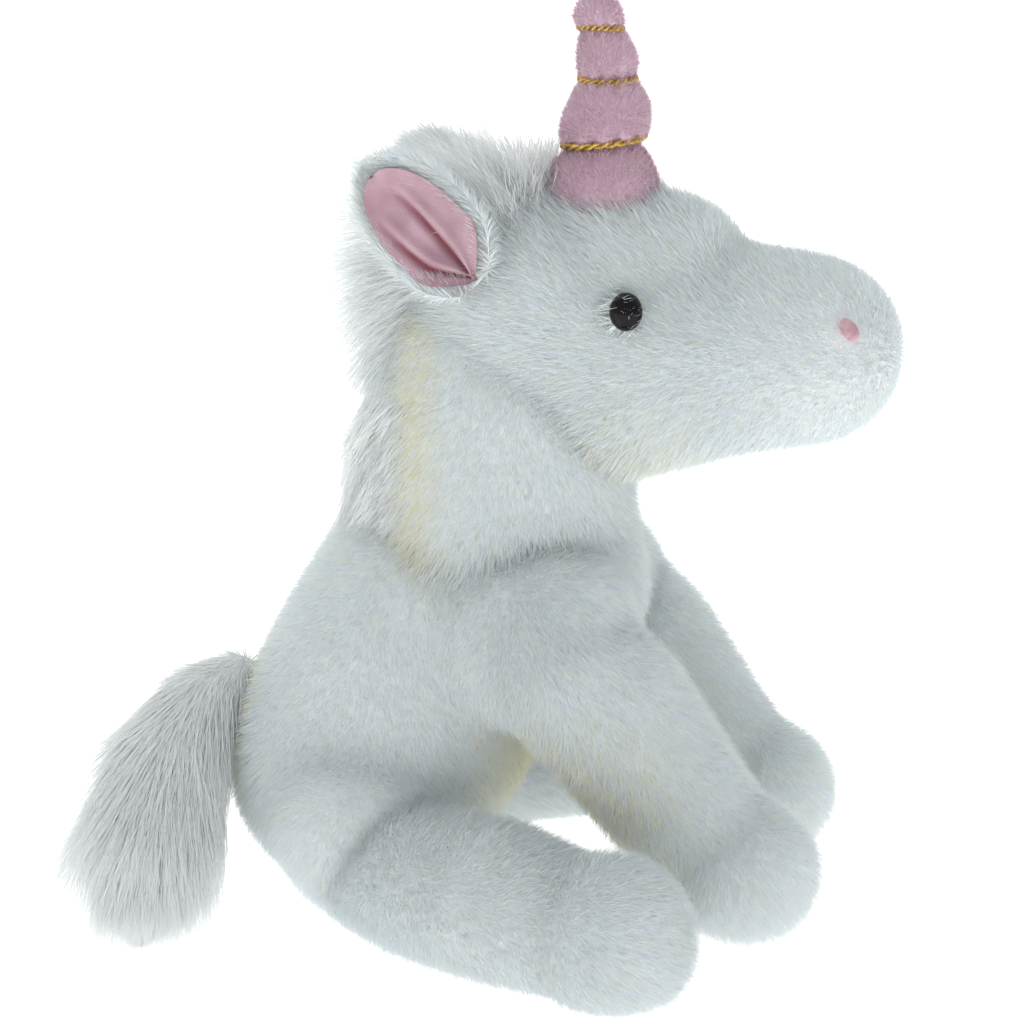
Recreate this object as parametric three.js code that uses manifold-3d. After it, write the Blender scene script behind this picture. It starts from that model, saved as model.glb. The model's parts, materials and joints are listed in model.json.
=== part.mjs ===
// Seated plush unicorn: sewn plush panels around stuffing, jointed at its soft seams.
// Millimetres, +Z up. The toy faces +X, and its left side is +Y.
import * as THREE from 'three';
import { mergeVertices } from 'three/addons/utils/BufferGeometryUtils.js';
import Module from 'manifold-3d';

const wasm = await Module();
wasm.setup();

// Cloth and clearances
const plush = 4; // backing and pressed pile of a panel
const seamGap = 0.4; // between pieces that lie against each other
const jointGap = 1.6; // round a ball-shaped root that turns in its recess
const weldTolerance = 1e-4;

// Facets round a shape and along each of its round ends
const fine = { around: 16, steps: 3 };
const plain = { around: 10, steps: 2 };
const hidden = 2.6; // how much further the plain inner pieces keep away

// Body: a rump ball that is flat where it sits, and a chest ball, joined by a tapered middle
const rump = { x: -44, radius: 46, flat: 2.5 };
const chest = { x: -5, z: 92, radius: 43 };
const bodyWidth = 1.06; // width over depth

// Front legs, from a shoulder beside the chest to a paw on the floor
const frontLeg = { ahead: 20, above: 1, sink: 10.6, radius: 28, width: 0.72 };
const frontPaw = { ahead: 62, ankle: 20, long: 24, wide: 19, high: 26, flat: 1 };

// Hind legs, from a hip beside the rump to a foot that clears the front leg
const hindLeg = { ahead: 6, sink: 6.8, radius: 32.5, flat: 0.7 };
const hindFoot = { ahead: 81, ankle: 22, long: 25, wide: 22, high: 24.5, flat: 1.1 };
const legGap = 4.8; // between a front leg and a hind foot
const beanShare = 0.62; // where along a leg the beans take over from the stuffing
const seatBag = 24; // height of the bean bag in the seat

// Neck: a sleeve round a vertical axis, round at the top, that starts above the shoulders
const neck = { x: -4, lowZ: 106, lowRadius: 40, highZ: 150, highRadius: 30, clearance: 1 };

// Head: cranium, cheeks and muzzle
const cranium = { x: 7, z: 181, radius: 41.5 };
const muzzle = { x: 86, z: 174.5, radius: 28.5 };
const cheeks = { x: 27, z: 170, radius: 34.5 };
const headWidth = 0.93;

// Horn: a ball-shaped root in the crown, and lobes that stand on it, each drawn in to its waist
const horn = { x: 28, stand: 2.7, lean: 4, wall: 1.6, rootRadius: 16.3 };
const rootShares = { cut: 0.55, shaft: 0.78, waist: 0.625 }; // of the root's radius
const hornLobes = [
  { long: 18.8, waist: horn.rootRadius * rootShares.waist, swell: 3.8 },
  { long: 15.5, waist: 6.4, swell: 3 },
  { long: 12, waist: 4.6, swell: 3.9 },
];
const goldThread = 0.9; // radius of a wrap

// Face: places along and up the head, and how far each piece stands out of the cloth
const eye = { x: 38, z: 190, stand: 0.4, forward: 0.17, upward: 0.3, radius: 6.2, height: 4.6 };
const shank = { radius: 2, length: 11 };
const washer = { radius: 7, thickness: 1.6, clearance: 1.6 };
const nostril = { x: 101, z: 184, sink: 1.2, long: 3.3, deep: 3, high: 3.8 };

// Ears: flat leaves, from the gathered base to the tip
const ear = { x: 0, z: 201, stand: 2.2, rise: 40, closeIn: 9 };
const earLeaf = { start: 0, length: 47, width: 30, thickness: 7, base: 6 };
const lining = { start: 1.5, length: 41, width: 19, thickness: 2.2, base: 2.5 };

// Long pile
const mane = { halfWidth: 21, innerRadius: 20, frontStand: 2, stand: 19, riseAngle: 26 };
const maneAngles = { parting: 122, end: 194 }; // round the cranium, from straight ahead
const neckMane = { halfWidth: 18, lowZ: 127, highZ: 151, stand: 10 };
const tailPivot = { z: 68, stand: 1.1 };
const tailCoreRadius = 3;
const tailStops = [ // from the pivot
  { back: 4, right: 5, down: 2, radius: 9 },
  { back: 25, right: 26, down: 20, radius: 17 },
  { back: 28, right: 48, down: 39, radius: 20 },
  { back: 23, right: 63, down: 51.5, radius: 17 },
];

// Travel of the soft joints, in degrees, that leaves room in their neighbours
const nodTravel = [-12, 10];
const frontLegTravel = [-50, -25, 0];
const hindLegTravel = [0, 30];
const tailTravel = [0, 30, 60];

const white = { color: 0xeef0ef, roughness: 0.95 };
const looks = {
  plush: white,
  longPile: { color: 0xf4f5f4, roughness: 0.9 },
  stuffing: { color: 0xfafafa, roughness: 1 },
  beans: { color: 0xd8d4c8, roughness: 0.7 },
  pink: { color: 0xe5a9b8, roughness: 0.9 },
  gold: { color: 0xc9a240, roughness: 0.4, metalness: 0.6 },
  eye: { color: 0x0b0b0d, roughness: 0.08 },
  washer: { color: 0xe6e6e2, roughness: 0.5 },
};

const toy = new THREE.Group();
toy.name = 'plush_unicorn';

// Joining and cutting

function toSolid(geometry) {
  geometry.deleteAttribute('normal');
  geometry.deleteAttribute('uv');
  const welded = mergeVertices(geometry, weldTolerance);
  const corners = welded.index.array;
  const kept = [];
  for (let i = 0; i < corners.length; i += 3) {
    const [a, b, c] = [corners[i], corners[i + 1], corners[i + 2]];
    if (a !== b && b !== c && c !== a) kept.push(a, b, c);
  }
  return new wasm.Manifold(new wasm.Mesh({
    numProp: 3,
    vertProperties: new Float32Array(welded.attributes.position.array),
    triVerts: new Uint32Array(kept),
  }));
}

function addPiece(name, solid, look) {
  const { vertProperties, triVerts } = solid.getMesh();
  const geometry = new THREE.BufferGeometry();
  geometry.setAttribute('position', new THREE.BufferAttribute(vertProperties, 3));
  geometry.setIndex(new THREE.BufferAttribute(triVerts, 1));
  geometry.computeVertexNormals();
  const piece = new THREE.Mesh(geometry, new THREE.MeshStandardMaterial(looks[look]));
  piece.name = name;
  toy.add(piece);
}

const joined = (solids) => solids.reduce((whole, next) => whole.add(next));
const without = (solid, cutters) => cutters.reduce((left, cutter) => left.subtract(cutter), solid);

// Basic shapes

function turnedAbout(pivot, axis, degrees) {
  const turn = new THREE.Matrix4().makeRotationAxis(axis, THREE.MathUtils.degToRad(degrees));
  const there = new THREE.Matrix4().makeTranslation(pivot.x, pivot.y, pivot.z);
  const back = new THREE.Matrix4().makeTranslation(-pivot.x, -pivot.y, -pivot.z);
  return there.multiply(turn).multiply(back);
}

function ball(centre, radii, facets = fine) {
  const { around } = facets;
  const geometry = new THREE.SphereGeometry(1, around, around / 2);
  geometry.rotateX(Math.PI / 2);
  geometry.scale(radii.x, radii.y, radii.z);
  return toSolid(geometry.translate(centre.x, centre.y, centre.z));
}

// A solid of revolution about local +Z, from [radius, height] pairs that run upwards
function turned(profile, around = fine.around) {
  const points = profile.map(([radius, height]) => new THREE.Vector2(radius, height));
  const geometry = new THREE.LatheGeometry(points, around);
  return geometry.rotateX(Math.PI / 2);
}

function arc(radius, height, fromAngle, toAngle, steps) {
  const points = [];
  for (let i = 0; i <= steps; i += 1) {
    const angle = fromAngle + ((toAngle - fromAngle) * i) / steps;
    points.push([Math.max(0, radius * Math.cos(angle)), height + radius * Math.sin(angle)]);
  }
  return points;
}

// Two balls joined by the cone that touches both
function capsule(from, to, fromRadius, toRadius, options = {}) {
  const { width = 1, facets = fine, move = null } = options;
  const { around, steps } = facets;
  const along = to.clone().sub(from);
  const length = along.length();
  const slope = Math.asin((fromRadius - toRadius) / length);
  const geometry = turned([
    ...arc(fromRadius, 0, -Math.PI / 2, slope, steps),
    ...arc(toRadius, length, slope, Math.PI / 2, steps),
  ], around);
  const turn = new THREE.Quaternion().setFromUnitVectors(
    zAxis,
    along.normalize(),
  );
  geometry.applyQuaternion(turn);
  geometry.scale(1, width, 1);
  geometry.translate(from.x, from.y, from.z);
  if (move) geometry.applyMatrix4(move);
  return toSolid(geometry);
}

const at = (x, y, z) => new THREE.Vector3(x, y, z);
// Places that follow from the sizes

rump.z = rump.radius - rump.flat;
frontLeg.x = chest.x + frontLeg.ahead;
frontLeg.y = chest.radius * bodyWidth - frontLeg.sink;
frontLeg.z = chest.z + frontLeg.above;
frontPaw.x = frontLeg.x + frontPaw.ahead;
frontPaw.z = frontPaw.high - frontPaw.flat;
hindLeg.x = rump.x + hindLeg.ahead;
hindLeg.y = rump.radius * bodyWidth - hindLeg.sink;
hindLeg.z = hindLeg.radius - hindLeg.flat;
hindFoot.x = hindLeg.x + hindFoot.ahead;
hindFoot.y = frontLeg.y + frontLeg.radius * frontLeg.width + legGap + hindFoot.wide;
hindFoot.z = hindFoot.high - hindFoot.flat;
neck.cutZ = frontLeg.z + frontLeg.radius + neck.clearance;
horn.z = cranium.z + Math.sqrt(cranium.radius ** 2 - (horn.x - cranium.x) ** 2) + horn.stand;
const behindHorn = horn.x - horn.rootRadius - cranium.x;
maneAngles.start = THREE.MathUtils.radToDeg(Math.acos(behindHorn / cranium.radius));
let lobeBottom = horn.rootRadius * rootShares.shaft;
for (const lobe of hornLobes) {
  lobe.low = lobeBottom;
  lobeBottom += lobe.long;
}
eye.y = headHalfWidth(eye.x, eye.z) + eye.stand;
nostril.y = headHalfWidth(nostril.x, nostril.z) - nostril.sink;
ear.y = headHalfWidth(ear.x, ear.z) + ear.stand;
tailPivot.x = rump.x - Math.sqrt(rump.radius ** 2 - (tailPivot.z - rump.z) ** 2) - tailPivot.stand;

// Half the head's width at a place on its side
function headHalfWidth(x, z) {
  const share = THREE.MathUtils.clamp((x - cranium.x) / (muzzle.x - cranium.x), 0, 1);
  const radius = THREE.MathUtils.lerp(cranium.radius, muzzle.radius, share);
  const aside = x - THREE.MathUtils.lerp(cranium.x, muzzle.x, share);
  const above = z - THREE.MathUtils.lerp(cranium.z, muzzle.z, share);
  return headWidth * Math.sqrt(radius ** 2 - aside ** 2 - above ** 2);
}

const yAxis = at(0, 1, 0);
const zAxis = at(0, 0, 1);
const sides = [['right', -1], ['left', 1]];
const faraway = 400;

function layer(low, high) {
  const geometry = new THREE.BoxGeometry(2 * faraway, 2 * faraway, high - low);
  return toSolid(geometry.translate(0, 0, (high + low) / 2));
}

// Everything on the side of a plane that its normal points to
function beyond(point, normal, start = 0) {
  const geometry = new THREE.BoxGeometry(2 * faraway, 2 * faraway, faraway);
  geometry.translate(0, 0, faraway / 2 + start);
  geometry.applyQuaternion(new THREE.Quaternion().setFromUnitVectors(zAxis, normal));
  return toSolid(geometry.translate(point.x, point.y, point.z));
}

// Solid shapes of the soft parts; grow is negative for what lies inside the cloth

function bodyShape(grow, facets = fine, move = null) {
  return capsule(
    at(rump.x, 0, rump.z),
    at(chest.x, 0, chest.z),
    rump.radius + grow,
    chest.radius + grow,
    { width: bodyWidth, facets, move },
  );
}

function neckShape(grow, facets = fine, nod = 0) {
  const pivot = at(neck.x, 0, neck.highZ);
  const turn = turnedAbout(pivot, yAxis, nod);
  const sleeve = capsule(
    at(neck.x, 0, neck.lowZ),
    pivot,
    neck.lowRadius + grow,
    neck.highRadius + grow,
    { facets, move: turn },
  );
  const foot = at(neck.x, 0, neck.cutZ - grow).applyMatrix4(turn);
  return sleeve.subtract(beyond(foot, zAxis.clone().negate().transformDirection(turn)));
}

function headShape(grow, facets = fine, nod = 0) {
  const move = turnedAbout(at(neck.x, 0, neck.highZ), yAxis, nod);
  const options = { width: headWidth, facets, move };
  return joined([
    capsule(
      at(cranium.x, 0, cranium.z),
      at(muzzle.x, 0, muzzle.z),
      cranium.radius + grow,
      muzzle.radius + grow,
      options,
    ),
    capsule(
      at(cheeks.x, 0, cheeks.z),
      at(muzzle.x, 0, muzzle.z),
      cheeks.radius + grow,
      muzzle.radius + grow - 1,
      options,
    ),
  ]);
}

function frontLegShape(side, grow, facets = fine, swing = 0) {
  const shoulder = at(frontLeg.x, side * frontLeg.y, frontLeg.z);
  const paw = at(frontPaw.x, side * frontLeg.y, frontPaw.z);
  const move = turnedAbout(shoulder, yAxis, swing);
  const limb = capsule(shoulder, paw, frontLeg.radius + grow, frontPaw.ankle + grow, {
    width: frontLeg.width,
    facets,
    move,
  });
  const toe = ball(
    paw.clone().applyMatrix4(move),
    at(frontPaw.long + grow, frontPaw.wide + grow, frontPaw.high + grow),
    facets,
  );
  return limb.add(toe);
}

function hindLegShape(side, grow, facets = fine, splay = 0) {
  const hip = at(hindLeg.x, side * hindLeg.y, hindLeg.z);
  const foot = at(hindFoot.x, side * hindFoot.y, hindFoot.z);
  const move = turnedAbout(hip, zAxis, side * splay);
  const limb = capsule(hip, foot, hindLeg.radius + grow, hindFoot.ankle + grow, { facets, move });
  const toe = ball(
    foot.clone().applyMatrix4(move),
    at(hindFoot.long + grow, hindFoot.wide + grow, hindFoot.high + grow),
    facets,
  );
  return limb.add(toe);
}

function hornRoot(grow, facets = fine) {
  const radius = horn.rootRadius + grow;
  return ball(at(horn.x, 0, horn.z), at(radius, radius, radius), facets);
}

// Panels: cloth of one thickness over a shape, with a flat where the toy stands

const inset = -(plush + seamGap);

function cloth(shape, room) {
  const lining = shape(-plush).subtract(layer(-faraway, plush));
  return without(shape(0), [lining, layer(-faraway, 0), ...room]);
}

function core(shape, room) {
  return without(shape(inset - hidden, plain), [layer(-faraway, plush + seamGap), ...room]);
}

function addPanels(names, shell, point, normal) {
  const flipped = normal.clone().negate();
  addPiece(names[0], shell.intersect(beyond(point, normal, seamGap / 2)), 'plush');
  addPiece(names[1], shell.intersect(beyond(point, flipped, seamGap / 2)), 'plush');
}

// Body: two panels, the stuffing, and a bag of beans in the seat

function bodyRoom(gap, facets) {
  const room = [neckShape(gap, facets)];
  room.push(...nodTravel.map((nod) => headShape(gap, facets, nod)));
  for (const [, side] of sides) {
    room.push(...hindLegTravel.map((splay) => hindLegShape(side, gap, facets, splay)));
    room.push(...frontLegTravel.map((swing) => frontLegShape(side, gap, facets, swing)));
  }
  return room;
}

const middle = at(0, 0, 0);
const bodyShell = cloth(bodyShape, bodyRoom(jointGap, fine));
addPanels(['body_panel_left', 'body_panel_right'], bodyShell, middle, yAxis);
const bodyCore = core(bodyShape, bodyRoom(jointGap + hidden, plain));
const bagTop = plush + seamGap + seatBag;
addPiece('body_stuffing', bodyCore.subtract(layer(-faraway, bagTop + seamGap)), 'stuffing');
addPiece('seat_bean_bag', bodyCore.intersect(layer(0, bagTop)), 'beans');

// Neck

addPanels(['neck_panel_left', 'neck_panel_right'], cloth(neckShape, []), middle, yAxis);
addPiece('neck_stuffing', core(neckShape, []), 'stuffing');

function neckManeShape() {
  const outline = new THREE.Shape();
  outline.moveTo(neck.x, neckMane.lowZ);
  outline.lineTo(neck.x - neck.lowRadius - neckMane.stand, neckMane.lowZ);
  outline.lineTo(neck.x - neck.lowRadius - neckMane.stand, neckMane.highZ);
  outline.lineTo(neck.x, neckMane.highZ);
  return slab(outline, neckMane.halfWidth);
}

// An outline in X and Z given a width across the toy
function slab(outline, halfWidth) {
  const geometry = new THREE.ExtrudeGeometry(outline, {
    depth: 2 * halfWidth,
    bevelEnabled: false,
    curveSegments: 1,
  });
  geometry.rotateX(Math.PI / 2);
  return toSolid(geometry.translate(0, halfWidth, 0));
}

addPiece('neck_mane', neckManeShape().subtract(neckShape(seamGap)), 'longPile');

// Eyes: a dome on the cloth, its shank through the panel, and a washer locked on behind

function facing(point, normal, distance) {
  const turn = new THREE.Quaternion().setFromUnitVectors(zAxis, normal);
  const place = point.clone().addScaledVector(normal, distance);
  return new THREE.Matrix4().compose(place, turn, at(1, 1, 1));
}

function rod(radius, low, high) {
  return turned([[0, low], [radius, low], [radius, high], [0, high]], plain.around);
}

function eyePlace(side, distance) {
  const normal = at(eye.forward, side, eye.upward).normalize();
  return facing(at(eye.x, side * eye.y, eye.z), normal, distance);
}

function eyeRod(side, radius, low, high) {
  return toSolid(rod(radius, low, high).applyMatrix4(eyePlace(side, 0)));
}

const washerDepth = plush + washer.clearance;

function addEye(name, side) {
  const dome = turned([[0, -eye.height], ...arc(eye.radius, 0, 0, Math.PI / 2, fine.steps)]);
  dome.scale(1, 1, eye.height / eye.radius);
  dome.applyMatrix4(eyePlace(side, 0));
  const post = eyeRod(side, shank.radius, -shank.length, eye.height / 2);
  addPiece(`eye_${name}`, toSolid(dome).subtract(headShape(seamGap)).add(post), 'eye');
  const ring = turned([
    [shank.radius + seamGap, 0],
    [washer.radius, 0],
    [washer.radius, washer.thickness],
    [shank.radius + seamGap, washer.thickness],
    [shank.radius + seamGap, 0],
  ], plain.around);
  ring.applyMatrix4(eyePlace(side, -washerDepth - washer.thickness));
  addPiece(`eye_washer_${name}`, toSolid(ring), 'washer');
}

// Head: two panels, the stuffing, and small pink patches for nostrils

function headRoom(gap, facets) {
  const room = nodTravel.map((nod) => neckShape(gap, facets, -nod));
  return [...room, hornRoot(gap, facets)];
}

const shankHoles = [];
const washerPockets = [];
for (const [name, side] of sides) {
  addEye(name, side);
  shankHoles.push(eyeRod(side, shank.radius + seamGap, -2 * shank.length, 2 * eye.height));
  washerPockets.push(eyeRod(side, washer.radius + seamGap, -shank.length - 1, eye.height));
  const spot = ball(
    at(nostril.x, side * nostril.y, nostril.z),
    at(nostril.long, nostril.deep, nostril.high),
    plain,
  );
  addPiece(`nostril_${name}`, spot.subtract(headShape(seamGap)), 'pink');
}
const headShell = cloth(headShape, [...headRoom(jointGap, fine), ...shankHoles]);
addPanels(['head_panel_left', 'head_panel_right'], headShell, middle, yAxis);
const headCore = core(headShape, [...headRoom(jointGap + hidden, plain), ...washerPockets]);
addPiece('head_stuffing', headCore, 'stuffing');

// Forelock and mane: long pile standing on the crown and on the back of the head

function crest(fromAngle, toAngle, steps) {
  const outline = new THREE.Shape();
  const radians = THREE.MathUtils.degToRad;
  const point = (radius, angle) => [
    cranium.x + radius * Math.cos(radians(angle)),
    cranium.z + radius * Math.sin(radians(angle)),
  ];
  outline.moveTo(...point(mane.innerRadius, fromAngle));
  for (let i = 0; i <= steps; i += 1) {
    const angle = fromAngle + ((toAngle - fromAngle) * i) / steps;
    const grown = Math.min(1, (angle - maneAngles.start) / mane.riseAngle);
    const stand = mane.stand * Math.sin((Math.PI / 2) * grown);
    outline.lineTo(...point(cranium.radius + mane.frontStand + stand, angle));
  }
  outline.lineTo(...point(mane.innerRadius, toAngle));
  return slab(outline, mane.halfWidth).subtract(headShape(seamGap));
}

const partingGap = 1; // degrees
addPiece(
  'forelock',
  crest(maneAngles.start, maneAngles.parting, 5).subtract(hornRoot(jointGap)),
  'longPile',
);
addPiece('mane', crest(maneAngles.parting + partingGap, maneAngles.end, 7), 'longPile');

// Horn: a ball-shaped root in the crown, then lobes drawn in by gold thread

function lobePoints(lobe, nextWaist, grow, steps) {
  const points = [];
  for (let i = 1; i <= steps; i += 1) {
    const share = i / steps;
    const taper = THREE.MathUtils.lerp(lobe.waist, nextWaist, share);
    const radius = taper + lobe.swell * Math.sin(Math.PI * share) + grow;
    points.push([radius, lobe.low + lobe.long * share]);
  }
  return points;
}

function hornOutline(grow, steps) {
  const radius = horn.rootRadius + grow;
  const bottom = Math.asin(-horn.rootRadius * rootShares.cut / radius);
  const top = Math.asin(hornLobes[0].low / radius);
  const points = arc(radius, 0, bottom, top, steps);
  hornLobes.forEach((lobe, index) => {
    const next = hornLobes[index + 1];
    points.push(...lobePoints(lobe, next ? next.waist : 0, grow, steps));
  });
  points[points.length - 1] = [0, lobeBottom + grow]; // the point
  return points;
}

const hornPlace = new THREE.Matrix4()
  .makeTranslation(horn.x, 0, horn.z)
  .multiply(new THREE.Matrix4().makeRotationY(THREE.MathUtils.degToRad(-horn.lean)));

function hornPiece(profile, around) {
  return toSolid(turned(profile, around).applyMatrix4(hornPlace));
}

function hornSolid(grow, steps, around) {
  return hornPiece([[0, -horn.rootRadius * rootShares.cut], ...hornOutline(grow, steps)], around);
}

const hornSteps = 4;
const hornSkin = [...hornOutline(-horn.wall, hornSteps).reverse(), ...hornOutline(0, hornSteps)];
addPiece('horn_cover', hornPiece(hornSkin, fine.around), 'pink');
addPiece('horn_stuffing', hornSolid(-horn.wall - seamGap, plain.steps, plain.around), 'stuffing');
hornLobes.forEach((lobe, index) => {
  const wrap = new THREE.TorusGeometry(lobe.waist + goldThread, goldThread, 4, fine.around);
  wrap.translate(0, 0, lobe.low).applyMatrix4(hornPlace);
  const name = `gold_thread_${index + 1}`;
  addPiece(name, toSolid(wrap).subtract(hornSolid(seamGap, hornSteps, fine.around)), 'gold');
});

// Ears: a plush leaf laid back along the head, with a pink lining on its outer face

function leaf(size, low) {
  const outline = new THREE.Shape();
  const { start } = size;
  const half = size.width / 2;
  const end = start + size.length;
  outline.moveTo(start, -size.base);
  outline.bezierCurveTo(start + size.length / 4, -half * 1.4, end, -half * 1.1, end, 0);
  outline.bezierCurveTo(end, half * 1.1, start + size.length / 4, half * 1.4, start, size.base);
  const geometry = new THREE.ExtrudeGeometry(outline, {
    depth: size.thickness,
    bevelEnabled: false,
    curveSegments: 8,
  });
  return geometry.translate(0, 0, low);
}

function earPlace(side) {
  const rise = THREE.MathUtils.degToRad(ear.rise);
  const closeIn = THREE.MathUtils.degToRad(ear.closeIn);
  const along = at(
    -Math.cos(rise) * Math.cos(closeIn),
    -side * Math.sin(closeIn),
    Math.sin(rise) * Math.cos(closeIn),
  );
  const outward = at(0, side, 0).addScaledVector(along, -side * along.y).normalize();
  const across = outward.clone().cross(along);
  const place = new THREE.Matrix4().makeBasis(along, across, outward);
  return place.setPosition(ear.x, side * ear.y, ear.z);
}

for (const [name, side] of sides) {
  const outer = leaf(earLeaf, 0).applyMatrix4(earPlace(side));
  addPiece(`ear_outer_${name}`, toSolid(outer).subtract(headShape(jointGap)), 'plush');
  const inner = leaf(lining, earLeaf.thickness + seamGap).applyMatrix4(earPlace(side));
  addPiece(`ear_lining_${name}`, toSolid(inner), 'pink');
}

// Legs: an outer and an inner panel, stuffing above and beans in the foot

function addLeg(name, shape, root, foot, outward) {
  addPanels([`${name}_outer_panel`, `${name}_inner_panel`], cloth(shape, []), root, outward);
  const along = foot.clone().sub(root);
  const start = along.length() * beanShare;
  along.normalize();
  const inside = core(shape, []);
  addPiece(`${name}_stuffing`, inside.subtract(beyond(root, along, start - seamGap)), 'stuffing');
  addPiece(`${name}_bean_bag`, inside.intersect(beyond(root, along, start)), 'beans');
}

for (const [name, side] of sides) {
  addLeg(
    `front_leg_${name}`,
    (grow, facets) => frontLegShape(side, grow, facets),
    at(frontLeg.x, side * frontLeg.y, frontLeg.z),
    at(frontPaw.x, side * frontLeg.y, frontPaw.z),
    at(0, side, 0),
  );
  const hip = at(hindLeg.x, side * hindLeg.y, hindLeg.z);
  const foot = at(hindFoot.x, side * hindFoot.y, hindFoot.z);
  const outward = at(0, 0, 1).cross(foot.clone().sub(hip)).multiplyScalar(side).normalize();
  const shape = (grow, facets) => hindLegShape(side, grow, facets);
  addLeg(`hind_leg_${name}`, shape, hip, foot, outward);
}

// Tail: a plume of long pile on a thin core, cut to the rump that it hangs from

const stops = tailStops.map(({ back, right, down }) => (
  at(tailPivot.x - back, -right, tailPivot.z - down)
));
const plume = joined(stops.slice(1).map((stop, index) => capsule(
  stops[index],
  stop,
  tailStops[index].radius,
  tailStops[index + 1].radius,
  { facets: plain },
)));
const tailRoot = at(tailPivot.x, 0, tailPivot.z);
const tailRoom = tailTravel.map((lift) => (
  bodyShape(jointGap, fine, turnedAbout(tailRoot, yAxis, -lift))
));
const tailBar = (radius) => capsule(tailRoot, stops[1], radius, radius, { facets: plain });
const coreHole = tailBar(tailCoreRadius + seamGap);
addPiece('tail_core', without(tailBar(tailCoreRadius), tailRoom), 'stuffing');
addPiece('tail_plume', without(plume, [...tailRoom, layer(-faraway, 0), coreHole]), 'longPile');

// The origin is the middle of the toy's outline, on the surface that it sits on

const extent = new THREE.Box3().setFromObject(toy);
const centre = extent.getCenter(new THREE.Vector3());
toy.position.set(-centre.x, -centre.y, -extent.min.z);

export default toy;
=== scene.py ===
import json
import math
import bpy
import bmesh
import numpy as np
from mathutils import Matrix, Vector
from mathutils.bvhtree import BVHTree


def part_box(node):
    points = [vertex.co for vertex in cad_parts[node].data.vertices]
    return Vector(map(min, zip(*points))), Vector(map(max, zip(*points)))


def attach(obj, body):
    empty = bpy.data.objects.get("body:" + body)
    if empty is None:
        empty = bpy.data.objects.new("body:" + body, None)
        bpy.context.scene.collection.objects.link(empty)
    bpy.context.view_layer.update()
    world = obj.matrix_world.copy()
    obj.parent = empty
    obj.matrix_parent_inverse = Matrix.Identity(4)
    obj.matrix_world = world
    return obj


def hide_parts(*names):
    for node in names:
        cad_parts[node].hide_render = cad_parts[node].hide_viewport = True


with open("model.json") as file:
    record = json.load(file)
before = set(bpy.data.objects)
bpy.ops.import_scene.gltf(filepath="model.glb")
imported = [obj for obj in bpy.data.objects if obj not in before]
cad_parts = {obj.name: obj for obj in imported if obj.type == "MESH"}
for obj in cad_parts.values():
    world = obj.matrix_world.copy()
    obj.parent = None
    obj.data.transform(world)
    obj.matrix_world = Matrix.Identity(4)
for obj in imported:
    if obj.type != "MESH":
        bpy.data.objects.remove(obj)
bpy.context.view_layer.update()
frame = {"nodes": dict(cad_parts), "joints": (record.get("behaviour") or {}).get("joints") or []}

mm = 0.001
jointPlaces = {j["name"]: Vector(j["pos_m"]) for j in frame["joints"]}
sides = {"right": -1, "left": 1}
print("frame loaded,", len(frame["nodes"]), "nodes")


def newMaterial(name, values):
    material = bpy.data.materials.new(name)
    material.use_nodes = True
    shader = material.node_tree.nodes["Principled BSDF"]
    for socket, value in values.items():
        shader.inputs[socket].default_value = value
    return material


def addNode(tree, kind, inputs=None, **settings):
    made = tree.nodes.new(kind)
    for key, value in settings.items():
        setattr(made, key, value)
    for key, value in (inputs or {}).items():
        if isinstance(value, bpy.types.NodeSocket):
            tree.links.new(value, made.inputs[key])
        else:
            made.inputs[key].default_value = value
    return made


# a colour that drifts between two shades, and a soft bump, both over Object coordinates
def clothMaterial(name, dark, light, patchSize, grainSize, grainDepth, values):
    material = newMaterial(name, values)
    tree = material.node_tree
    shader = tree.nodes["Principled BSDF"]
    place = addNode(tree, "ShaderNodeTexCoord").outputs["Object"]
    patch = addNode(tree, "ShaderNodeTexNoise",
                    {"Vector": place, "Scale": 1 / patchSize, "Detail": 3.0})
    ramp = addNode(tree, "ShaderNodeValToRGB", {"Fac": patch.outputs["Fac"]})
    ramp.color_ramp.elements[0].position = 0.35
    ramp.color_ramp.elements[0].color = (*dark, 1)
    ramp.color_ramp.elements[1].position = 0.65
    ramp.color_ramp.elements[1].color = (*light, 1)
    tree.links.new(ramp.outputs["Color"], shader.inputs["Base Color"])
    grain = addNode(tree, "ShaderNodeTexNoise",
                    {"Vector": place, "Scale": 1 / grainSize, "Detail": 4.0})
    bump = addNode(tree, "ShaderNodeBump", {"Height": grain.outputs["Fac"],
                                            "Strength": 0.6, "Distance": grainDepth})
    tree.links.new(bump.outputs["Normal"], shader.inputs["Normal"])
    return material


pileLook = {"Roughness": 0.8, "Sheen Weight": 0.25, "Sheen Roughness": 0.4,
            "Specular IOR Level": 0.25}
# the warm shade is a random share of the hairs, and also painted glow in creases where backlight
# shines through the fur
longMaterials = {
    "cool": newMaterial("hairCool", {"Base Color": (0.93, 0.965, 0.98, 1), **pileLook}),
    "white": newMaterial("hairWhite", {"Base Color": (0.97, 0.985, 0.985, 1), **pileLook}),
    "warm": newMaterial("hairWarm", {"Base Color": (0.95, 0.93, 0.80, 1), **pileLook}),
}
pileMaterials = {
    "cool": newMaterial("pileCool", {"Base Color": (0.86, 0.92, 0.95, 1), **pileLook}),
    "white": newMaterial("pileWhite", {"Base Color": (0.90, 0.94, 0.95, 1), **pileLook}),
    "warm": newMaterial("pileWarm", {"Base Color": (0.93, 0.905, 0.70, 1), **pileLook}),
}
backing = clothMaterial("knittedBacking", (0.79, 0.83, 0.845), (0.87, 0.895, 0.90),
                        0.03, 0.0012, 0.0004, {"Roughness": 0.9, "Sheen Weight": 0.3})
velour = clothMaterial("hornVelour", (0.61, 0.40, 0.49), (0.72, 0.52, 0.60),
                       0.008, 0.0009, 0.0005, {"Roughness": 0.85, "Sheen Weight": 0.6})
velourLight = newMaterial("hornPile", {"Base Color": (0.80, 0.64, 0.73, 1), "Roughness": 0.8,
                                       "Sheen Weight": 0.5})
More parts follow.
